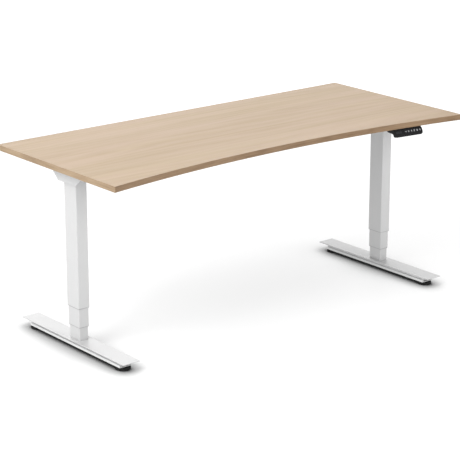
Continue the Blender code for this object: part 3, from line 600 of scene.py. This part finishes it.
def hex_bolt(shape, spot, direction, size):
    """Hexagon head with a chamfered top on a round flange."""
    radius, height = size
    place = along_axis(spot, direction)
    base = 0.32 * height
    crown = 0.92 * height
    flange = [(0, 0), (1.30 * radius, 0), (1.30 * radius, 0.18 * height), (1.05 * radius, base), (0, base)]
    cap = [(0, crown), (0.92 * radius, crown), (0.80 * radius, height), (0, height)]
    lathe(flange, BOLT_SIDES, shape=shape, place=place)
    prism(circle(radius, 6), base, crown, shape, place)
    lathe(cap, BOLT_SIDES, shape=shape, place=place)


def strokes(lines, width, depth, size):
    """Printed mark: each line is a row of points in units of the mark's size."""
    shape = bmesh.new()
    for line in lines:
        for start, end in zip(line, line[1:]):
            a, b = Vector(start) * size, Vector(end) * size
            run = (b - a).normalized() * width / 2
            side = Vector((-run.y, run.x))
            corners = [a - run + side, a - run - side, b + run - side, b + run + side]
            prism([tuple(corner) for corner in corners], 0.0, depth, shape)
    return shape


def round_edges(obj, width):
    bevel = obj.modifiers.new("edge_rounding", "BEVEL")
    bevel.width = width
    bevel.segments = ROUNDING_STEPS
    bevel.limit_method = "ANGLE"
    bevel.angle_limit = SMOOTH_ANGLE
    bevel.use_clamp_overlap = True
    normals = obj.modifiers.new("face_weighted_normals", "WEIGHTED_NORMAL")
    normals.weight = FACE_WEIGHT
    normals.keep_sharp = True


def add_piece(name, shape, body, slot, surface=None, place=None, rounding=0.0, stands_for=()):
    """A detail piece that rides on a CAD body, and may replace the CAD node it stands for."""
    bmesh.ops.recalc_face_normals(shape, faces=shape.faces)
    mesh = bpy.data.meshes.new(name)
    shape.to_mesh(mesh)
    shape.free()
    mesh.shade_smooth()
    mesh.set_sharp_from_angle(angle=SMOOTH_ANGLE)
    mesh.materials.append(surface or FINISHES[slot])
    piece = bpy.data.objects.new(name, mesh)
    bpy.context.scene.collection.objects.link(piece)
    piece.matrix_world = place or Matrix.Identity(4)
    if rounding:
        round_edges(piece, rounding)
    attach(piece, body)
    if stands_for:
        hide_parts(*stands_for)


def centre(node):
    low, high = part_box(node)
    return (low + high) / 2


# ---------------------------------------------------------------- the CAD nodes


def weld_and_smooth():
    """Node group that joins the imported corners again and shades gentle angles smooth."""
    group = bpy.data.node_groups.new("weld_and_smooth", "GeometryNodeTree")
    group.interface.new_socket("Geometry", in_out="INPUT", socket_type="NodeSocketGeometry")
    group.interface.new_socket("Geometry", in_out="OUTPUT", socket_type="NodeSocketGeometry")

    def add(kind, **inputs):
        made = group.nodes.new(kind)
        for key, value in inputs.items():
            socket = made.inputs[key.replace("_", " ")]
            if isinstance(value, bpy.types.NodeSocket):
                group.links.new(value, socket)
            else:
                socket.default_value = value
        return made

    start = add("NodeGroupInput").outputs[0]
    welded = add("GeometryNodeMergeByDistance", Geometry=start, Distance=WELD_DISTANCE).outputs[0]
    plain = add("GeometryNodeRemoveAttribute", Geometry=welded, Name="custom_normal").outputs[0]
    smooth = add("GeometryNodeSetShadeSmooth", Geometry=plain, Shade_Smooth=True).outputs[0]
    angle = add("GeometryNodeInputMeshEdgeAngle").outputs["Unsigned Angle"]
    sharp = add("FunctionNodeCompare")
    sharp.operation = "GREATER_THAN"
    group.links.new(angle, sharp.inputs[0])
    sharp.inputs[1].default_value = SMOOTH_ANGLE
    creased = add("GeometryNodeSetShadeSmooth", Geometry=smooth, Selection=sharp.outputs[0],
                  Shade_Smooth=False)
    creased.domain = "EDGE"
    end = group.nodes.new("NodeGroupOutput")
    group.links.new(creased.outputs[0], end.inputs[0])
    return group


def dress_cad_nodes():
    """Gives every CAD node its finish and rounded edges."""
    group = weld_and_smooth()
    for part in frame["record"]["subparts"]:
        obj = frame["nodes"][part["node"]]
        slot = part["material_slot"]
        is_channel = part["node"].endswith("foot_channel")
        obj.data.materials.clear()
        # the feet's channels take the brighter copy of the white paint, as painted light
        obj.data.materials.append(LIT_CHANNEL_FINISH if is_channel else FINISHES[slot])
        weld = obj.modifiers.new("weld_and_smooth", "NODES")
        weld.node_group = group
        round_edges(obj, ROUNDING[slot])


# ---------------------------------------------------------------- columns


def make_mouth_ring(side, stage, inside, body):
    """Grey wiper ring that closes the gap below a tube's mouth, round the next tube."""
    low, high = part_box(f"{side}_{stage}_tube")
    inner_low, inner_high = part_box(f"{side}_{inside}_tube")
    middle = (low + high) / 2
    outer_size = (high.x - low.x - 2 * RING_SETBACK, high.y - low.y - 2 * RING_SETBACK)
    inner_size = (inner_high.x - inner_low.x + 2 * RING_CLEARANCE,
                  inner_high.y - inner_low.y + 2 * RING_CLEARANCE)
    outer = rounded(*outer_size, RING_CORNERS[0], (middle.x, middle.y), RING_CORNER_STEPS)
    inner = rounded(*inner_size, RING_CORNERS[1], (middle.x, middle.y), RING_CORNER_STEPS)
    bottom = low.z - RING_HEIGHT
    top = low.z - HAIRLINE
    shape = bmesh.new()
    loops = [[shape.verts.new((x, y, z)) for x, y in outline]
             for outline, z in ((outer, bottom), (outer, top), (inner, top), (inner, bottom))]
    for number, loop in enumerate(loops):
        following = loops[(number + 1) % len(loops)]
        for index in range(len(loop)):
            shape.faces.new((loop[index - 1], loop[index], following[index], following[index - 1]))
    add_piece(f"{side}_{stage}_mouth_ring", shape, body, "white_plastic", WIPER, rounding=SOFT_EDGE)


# ---------------------------------------------------------------- levelling feet


def make_levelling_foot(side, end):
    """Scalloped rubber foot with a jam nut and a threaded stud."""
    node = f"{side}_{end}_levelling_foot"
    body = f"{side}_{end}_foot"
    low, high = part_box(node)
    middle = centre(node)
    place = Matrix.Translation((middle.x, middle.y, low.z))
    radius = (high.x - low.x) / 2
    rim = [(radius - inset, height) for inset, height in PAD_RIM]
    pad = lathe([(0, rim[0][1]), *rim, *PAD_HUB], GRIP_LOBES * LOBE_SIDES, lobes=GRIP_LOBES,
                lobe_depth=GRIP_DEPTH, lobe_from=radius - GRIP_REACH)
    add_piece(f"{side}_{end}_foot_pad", pad, body, "foot_rubber", place=place, stands_for=(node,))

    top = high.z - low.z
    nut_top = PAD_HEIGHT + JAM_NUT_HEIGHT
    stud = bmesh.new()
    prism(circle(JAM_NUT_RADIUS, 6), PAD_HEIGHT, nut_top, stud)
    thread = [(0, nut_top - THREAD_SINK)]
    for turn in range(int((top - nut_top) / THREAD_PITCH)):
        start = nut_top - THREAD_SINK + turn * THREAD_PITCH
        thread += [(STUD_RADIUS - THREAD_DEPTH, start), (STUD_RADIUS, start + THREAD_PITCH / 2)]
    thread += [(STUD_RADIUS - STUD_TAPER, top), (0, top)]
    lathe(thread, STUD_SIDES, shape=stud)
    add_piece(f"{side}_{end}_foot_stud", stud, body, "spindle_steel", place=place)


# ---------------------------------------------------------------- motors


def motor_outline(radius, length):
    """Half section of the casing's outside, from the bore in its neck to its rear end."""
    flange_end = MOTOR_NECK + MOTOR_FLANGE
    cap_start = length - MOTOR_CAP
    chamfer_across, chamfer_along = MOTOR_FLANGE_CHAMFER
    outline = [(SHAFT_BORE, 0), (MOTOR_NECK_RADIUS, 0), (MOTOR_NECK_RADIUS, MOTOR_NECK),
               (radius - chamfer_across, MOTOR_NECK), (radius, MOTOR_NECK + chamfer_along),
               (radius, flange_end), (MOTOR_BODY_RADIUS, flange_end + MOTOR_STEP)]
    mouth, bottom = MOTOR_GROOVE_HALVES
    deep = MOTOR_BODY_RADIUS - MOTOR_GROOVE_DEPTH
    for groove in range(1, MOTOR_GROOVES + 1):
        spot = flange_end + groove * (cap_start - flange_end) / (MOTOR_GROOVES + 1)
        outline += [(MOTOR_BODY_RADIUS, spot - mouth), (deep, spot - bottom),
                    (deep, spot + bottom), (MOTOR_BODY_RADIUS, spot + mouth)]
    outline += [(MOTOR_BODY_RADIUS, cap_start - MOTOR_STEP), (radius, cap_start),
                (radius, length - MOTOR_CAP_ROUND)]
    for step in range(1, MOTOR_CAP_STEPS + 1):
        angle = math.radians(90 * step / MOTOR_CAP_STEPS)
        outline.append((radius - MOTOR_CAP_ROUND * (1 - math.cos(angle)),
                        length - MOTOR_CAP_ROUND * (1 - math.sin(angle))))
    outline += [(reach, length - depth) for reach, depth in MOTOR_CAP_RING]
    return outline + [(0, length)]


def make_motor(side, sign):
    """Ribbed motor casing with screws in its rear cap and a lead socket on its back."""
    node = f"{side}_motor_casing"
    low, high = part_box(node)
    middle = centre(node)
    length = high.x - low.x
    radius = (high.z - low.z) / 2
    front = MOTOR_NECK + MOTOR_WALLS[0]
    rear = length - MOTOR_WALLS[1]
    inside = [(0, rear), (MOTOR_ROOM, rear), (MOTOR_ROOM, front), (SHAFT_BORE, front)]
    start_x = low.x if sign < 0 else high.x
    place = along_axis((start_x, middle.y, middle.z), (-sign, 0, 0))
    casing = lathe(motor_outline(radius, length) + inside, MOTOR_SIDES, closed=True)
    add_piece(f"{side}_motor_shell", casing, "desk", "black_plastic", place=place, stands_for=(node,))

    screws = bmesh.new()
    for x, y in circle(CAP_SCREW_CIRCLE, CAP_SCREW_COUNT, start=math.pi / 2):
        pan_head(screws, (x, y, length - CAP_SCREW_SINK), UP, CAP_SCREW)
    add_piece(f"{side}_motor_screws", screws, "desk", "spindle_steel", place=place)

    socket = bmesh.new()
    spot = (start_x - sign * (length - SOCKET_SETBACK), middle.y + radius - SOCKET_SINK, middle.z)
    rearward = along_axis(spot, (0, 1, 0))
    block_top, rim_top = SOCKET_TOPS
    prism(rounded(*SOCKET_BLOCK), 0, block_top, socket, rearward)
    prism(rounded(*SOCKET_RIM), block_top, rim_top, socket, rearward)
    add_piece(f"{side}_motor_socket", socket, "desk", "black_plastic", rounding=SOFT_EDGE)


# ---------------------------------------------------------------- fastenings under the top


def make_arm_fastenings(side, sign):
    """Wood screws through the arm's top, and bolts from inside the arm into the crossbars."""
    low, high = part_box(f"{side}_side_arm")
    middle = centre(f"{side}_side_arm")
    screws = bmesh.new()
    for offset in ARM_SCREW_OFFSETS:
        spot = (middle.x, middle.y + offset, high.z - ARM_WALL - HAIRLINE)
        pan_head(screws, spot, DOWN, ARM_SCREW)
    add_piece(f"{side}_arm_screws", screws, "desk", "spindle_steel")

    bolts = bmesh.new()
    inner_wall = middle.x - sign * ((high.x - low.x) / 2 - ARM_WALL)
    for end in ENDS:
        rail = centre(f"{end}_crossbar")
        for lift in (-RAIL_BOLT_SPREAD, RAIL_BOLT_SPREAD):
            hex_bolt(bolts, (inner_wall, rail.y, rail.z + lift), (sign, 0, 0), RAIL_BOLT)
    add_piece(f"{side}_crossbar_bolts", bolts, "desk", "spindle_steel")


def make_control_box_details():
    """Louvres and screws on the underside, and contact pins in the sockets at the ends."""
    low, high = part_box("control_box_cover")
    middle = centre("control_box_cover")
    base_low, base_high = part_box("control_box_base")
    louvres = bmesh.new()
    bottom, top = LOUVRE_SPAN
    for number in range(LOUVRE_COUNT):
        x = middle.x + (number - (LOUVRE_COUNT - 1) / 2) * LOUVRE_PITCH + LOUVRE_SHIFT
        prism(rounded(*LOUVRE_BAR, (x, middle.y)), low.z + bottom, low.z + top, louvres)
    add_piece("control_box_louvres", louvres, "desk", "black_plastic", rounding=SOFT_EDGE)

    screws = bmesh.new()
    for x in (base_low.x + BOX_SCREW_INSET, base_high.x - BOX_SCREW_INSET):
        for y in (middle.y - BOX_SCREW_SPREAD, middle.y + BOX_SCREW_SPREAD):
            pan_head(screws, (x, y, base_low.z - HAIRLINE), DOWN, BOX_SCREW)
    add_piece("control_box_screws", screws, "desk", "spindle_steel")

    pins = bmesh.new()
    lead_pin = rounded(*LEAD_PIN, steps=PIN_CORNER_STEPS)
    inset, rise = LEAD_PIN_PLACE
    for port in LEAD_PORTS:
        for offset in LEAD_PIN_OFFSETS:
            spot = (low.x + inset, middle.y + port + offset, low.z + rise)
            prism(lead_pin, 0, LEAD_PIN_LENGTH, pins, along_axis(spot, (-1, 0, 0)))
    mains_pin = rounded(*MAINS_PIN, steps=PIN_CORNER_STEPS)
    for across, rise in MAINS_PIN_PLACES:
        spot = (high.x - MAINS_PIN_SETBACK, middle.y + across, low.z + rise)
        prism(mains_pin, 0, MAINS_PIN_LENGTH, pins, along_axis(spot, (1, 0, 0)))
    add_piece("control_box_pins", pins, "desk", "gear_brass")


# ---------------------------------------------------------------- handset

# lines through points, in units of the mark's size
MARKS = {
    "down": [[(-0.42, 0.20), (0, -0.24), (0.42, 0.20)]],
    "up": [[(-0.42, -0.20), (0, 0.24), (0.42, -0.20)]],
    "memory_1": [[(-0.18, 0.28), (0.04, 0.45), (0.04, -0.45)]],
    "memory_2": [[(-0.25, 0.45), (0.25, 0.45), (0.25, 0.0), (-0.25, 0.0), (-0.25, -0.45),
                  (0.25, -0.45)]],
    "memory_3": [[(-0.25, 0.45), (0.25, 0.45), (0.25, -0.45), (-0.25, -0.45)],
                 [(-0.10, 0.0), (0.25, 0.0)]],
    "store": [[(0.42 * math.cos(math.radians(a)), 0.42 * math.sin(math.radians(a)))
               for a in range(0, 361, 24)]],
}

# bars of a seven-segment figure, in units of its height
SEGMENTS = [
    [(-0.20, 0.5), (0.20, 0.5)], [(-0.20, 0.0), (0.20, 0.0)], [(-0.20, -0.5), (0.20, -0.5)],
    [(-0.28, 0.42), (-0.28, 0.08)], [(0.28, 0.42), (0.28, 0.08)],
    [(-0.28, -0.08), (-0.28, -0.42)], [(0.28, -0.08), (0.28, -0.42)],
]


def handset_axes():
    """Turn of the handset's face: X along the keys, Z out of the face."""
    first, last = centre("handset_button_down"), centre("handset_button_store")
    row = (last - first).normalized()
    rearward = UP.cross(row)
    rise = math.cos(HANDSET_TILT) * rearward + math.sin(HANDSET_TILT) * UP
    return Matrix((row, rise, row.cross(rise))).transposed().to_4x4()


def on_face(node):
    """Matrix in the middle of a handset node's outer face."""
    axes = handset_axes()
    out = axes.col[2].to_3d()
    middle = centre(node)
    reach = max((vert.co - middle).dot(out) for vert in frame["nodes"][node].data.vertices)
    return Matrix.Translation(middle + out * reach) @ axes


def make_handset_marks():
    for name, lines in MARKS.items():
        mark = strokes(lines, MARK_STROKE, INK_HEIGHT, MARK_SIZE)
        place = on_face(f"handset_button_{name}")
        add_piece(f"button_mark_{name}", mark, f"button_{name}", "button_plastic", INK, place)


def make_display_segments():
    """Three unlit figures on the display window's face."""
    lines = []
    for figure in (-1, 0, 1):
        shift = figure * FIGURE_PITCH / FIGURE_HEIGHT
        lines += [[(x + shift, y) for x, y in line] for line in SEGMENTS]
    figures = strokes(lines, FIGURE_STROKE, FIGURE_RISE, FIGURE_HEIGHT)
    place = on_face("handset_display") @ Matrix.Translation((-FIGURE_SHIFT, 0, 0))
    add_piece("display_segments", figures, "desk", "display_glass", DIM_SEGMENT, place)


def make_handset_screws():
    """Two wood screws up through the thin tongue behind the handset's face."""
    row = handset_axes().col[0].to_3d()
    rearward = UP.cross(row)
    front = centre("handset_panel")
    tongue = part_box("handset_housing")[1].z - HANDSET_TONGUE_DROP
    screws = bmesh.new()
    for across in (-HANDSET_SCREW_SPREAD, HANDSET_SCREW_SPREAD):
        spot = front + row * across + rearward * HANDSET_SCREW_SETBACK
        pan_head(screws, (spot.x, spot.y, tongue), DOWN, HANDSET_SCREW)
    add_piece("handset_screws", screws, "desk", "spindle_steel")


# ---------------------------------------------------------------- studio and camera


def make_sky():
    """White for the camera, and a dim even sky for everything else."""
    world = bpy.data.worlds.new("studio")
    world.use_nodes = True
    tree = world.node_tree
    background = tree.nodes["Background"]
    background.inputs["Strength"].default_value = SKY_STRENGTH
    backdrop = tree.nodes.new("ShaderNodeBackground")
    seen = tree.nodes.new("ShaderNodeLightPath")
    either = tree.nodes.new("ShaderNodeMixShader")
    for socket in (background.inputs["Color"], backdrop.inputs["Color"]):
        socket.default_value = (*WHITE, 1)
    tree.links.new(seen.outputs["Is Camera Ray"], either.inputs[0])
    tree.links.new(background.outputs[0], either.inputs[1])
    tree.links.new(backdrop.outputs[0], either.inputs[2])
    tree.links.new(either.outputs[0], tree.nodes["World Output"].inputs["Surface"])
    bpy.context.scene.world = world


def add_light(name, spot, target, size, power):
    data = bpy.data.lights.new(name, "AREA")
    data.shape = "RECTANGLE"
    data.size, data.size_y = size
    data.energy = power
    light = bpy.data.objects.new(name, data)
    light.location = spot
    light.rotation_euler = (Vector(target) - Vector(spot)).to_track_quat("-Z", "Y").to_euler()
    light.visible_camera = False
    bpy.context.scene.collection.objects.link(light)


def make_floor():
    shape = bmesh.new()
    signs = ((-1, -1), (1, -1), (1, 1), (-1, 1))
    shape.faces.new([shape.verts.new((x * FLOOR_HALF, y * FLOOR_HALF, FLOOR_HEIGHT)) for x, y in signs])
    mesh = bpy.data.meshes.new("floor")
    shape.to_mesh(mesh)
    shape.free()
    mesh.materials.append(studio_floor())
    floor = bpy.data.objects.new("floor", mesh)
    bpy.context.scene.collection.objects.link(floor)


def make_studio():
    make_sky()
    bpy.context.scene.view_settings.view_transform = "Standard"
    for name, settings in LIGHTS.items():
        add_light(name, *settings)
    make_floor()


def make_camera():
    data = bpy.data.cameras.new("photo_view")
    data.lens = CAMERA_LENS
    data.sensor_width = CAMERA_SENSOR
    data.clip_end = CAMERA_REACH
    camera = bpy.data.objects.new("photo_view", data)
    camera.location = CAMERA_SPOT
    camera.rotation_euler = (math.pi / 2 - CAMERA_PITCH, 0.0, -CAMERA_YAW)
    bpy.context.scene.collection.objects.link(camera)
    bpy.context.scene.camera = camera


# ---------------------------------------------------------------- the whole scene


def main():
    dress_cad_nodes()
    for side, sign in SIDES.items():
        for end in ENDS:
            make_levelling_foot(side, end)
        make_mouth_ring(side, "outer", "middle", "desk")
        make_mouth_ring(side, "middle", "inner", f"{side}_middle_stage")
        make_motor(side, sign)
        make_arm_fastenings(side, sign)
    make_control_box_details()
    make_handset_marks()
    make_display_segments()
    make_handset_screws()
    make_studio()
    make_camera()


main()

bpy.context.view_layer.update()
